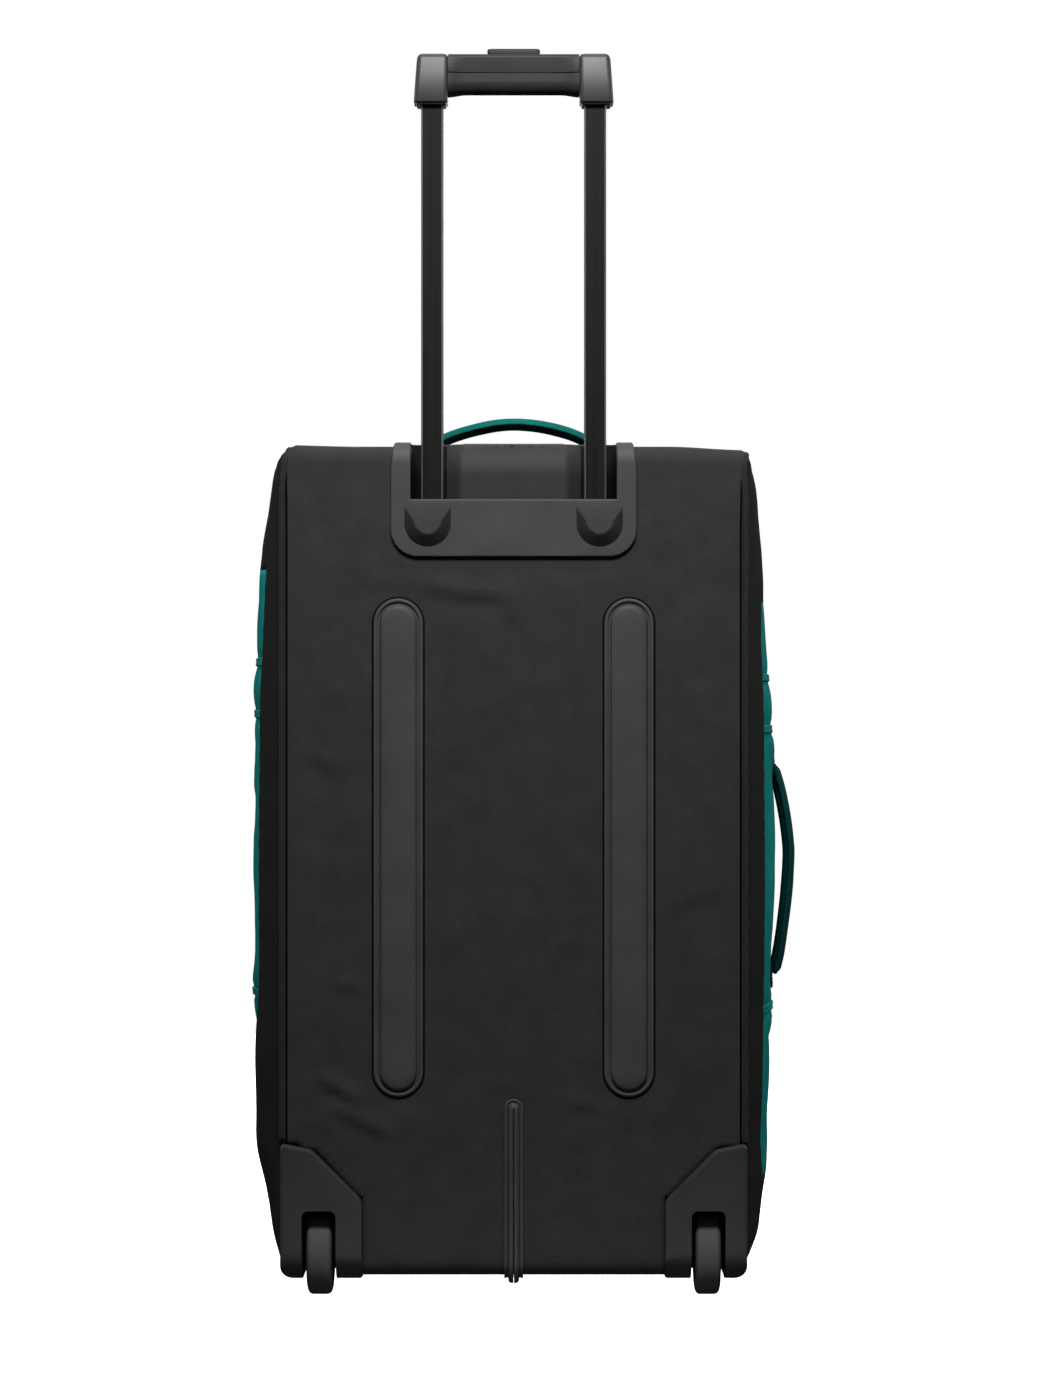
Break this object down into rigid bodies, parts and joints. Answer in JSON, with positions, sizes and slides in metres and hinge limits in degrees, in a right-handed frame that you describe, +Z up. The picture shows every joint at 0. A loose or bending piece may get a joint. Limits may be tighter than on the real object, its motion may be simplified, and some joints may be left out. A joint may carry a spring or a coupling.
{
  "type": "wheeled duffel bag",
  "caption": "Upright two-wheel travel bag with black cloth back and ends, teal cloth sides and front, webbing carry handles, plastic skids and a telescopic pull handle drawn out",
  "frame": {"origin": "middle of the bounding box at the floor that the wheels and feet stand on", "axes": "+Z is up, the back panel and wheels face -Y, +X is to the right when the back panel is seen"},
  "size_m": [0.4378, 0.3346, 0.9531],
  "materials": {
    "black_cloth": "matte woven polyester",
    "teal_cloth": "matte woven polyester",
    "teal_webbing": "padded ribbed webbing",
    "zip_tape": "woven zip tape with a moulded coil",
    "grey_plastic": "fine grained moulding",
    "black_plastic": "satin moulding",
    "black_tube": "black anodised, satin",
    "steel": "plain drawn steel",
    "wheel_rubber": "moulded matte rubber",
    "foot_rubber": "matte rubber"
  },
  "bodies": {
    "bag": {"axle_left": "steel", "axle_right": "steel", "bottom_end": "black_cloth", "front_foot_left": "foot_rubber", "front_foot_right": "foot_rubber", "guide_sleeve_left": "steel", "guide_sleeve_right": "steel", "handle_housing": "grey_plastic", "kick_rail": "grey_plastic", "left_panel": "teal_cloth", "lower_seam_band_left": "teal_cloth", "lower_seam_band_right": "teal_cloth", "main_zip": "zip_tape", "middle_seam_band_left": "teal_cloth", "middle_seam_band_right": "teal_cloth", "piping_left": "black_cloth", "piping_right": "black_cloth", "rear_shell": "black_cloth", "right_panel": "teal_cloth", "side_carry_handle": "teal_webbing", "skid_strip_left": "grey_plastic", "skid_strip_right": "grey_plastic", "top_carry_handle": "teal_webbing", "top_end": "black_cloth", "upper_seam_band_left": "teal_cloth", "upper_seam_band_right": "teal_cloth", "wheel_housing_left": "grey_plastic", "wheel_housing_right": "grey_plastic", "zip_slider": "black_plastic"},
    "handle": {"pull_tube_left": "black_tube", "pull_tube_right": "black_tube", "grip_bar": "black_plastic", "grip_cap_left": "black_plastic", "grip_cap_right": "black_plastic"},
    "button": {"release_button": "black_plastic"},
    "wheel_left": {"wheel_hub_left": "black_plastic", "tyre_left": "wheel_rubber"},
    "wheel_right": {"wheel_hub_right": "black_plastic", "tyre_right": "wheel_rubber"}
  },
  "joints": [
    {"name": "handle_slide", "type": "slide", "parent": "bag", "child": "handle", "axis": [0, 0, 1], "range_m": [-0.295, 0]},
    {"name": "button_press", "type": "slide", "parent": "handle", "child": "button", "axis": [0, 0, -1], "range_m": [0, 0.003], "stiffness_N_per_m": 600, "springref_m": -0.002},
    {"name": "wheel_left_spin", "type": "hinge", "parent": "bag", "child": "wheel_left", "pos_m": [-0.158, -0.12895, 0.032], "axis": [1, 0, 0], "continuous": true},
    {"name": "wheel_right_spin", "type": "hinge", "parent": "bag", "child": "wheel_right", "pos_m": [0.139, -0.12895, 0.032], "axis": [1, 0, 0], "continuous": true}
  ]
}
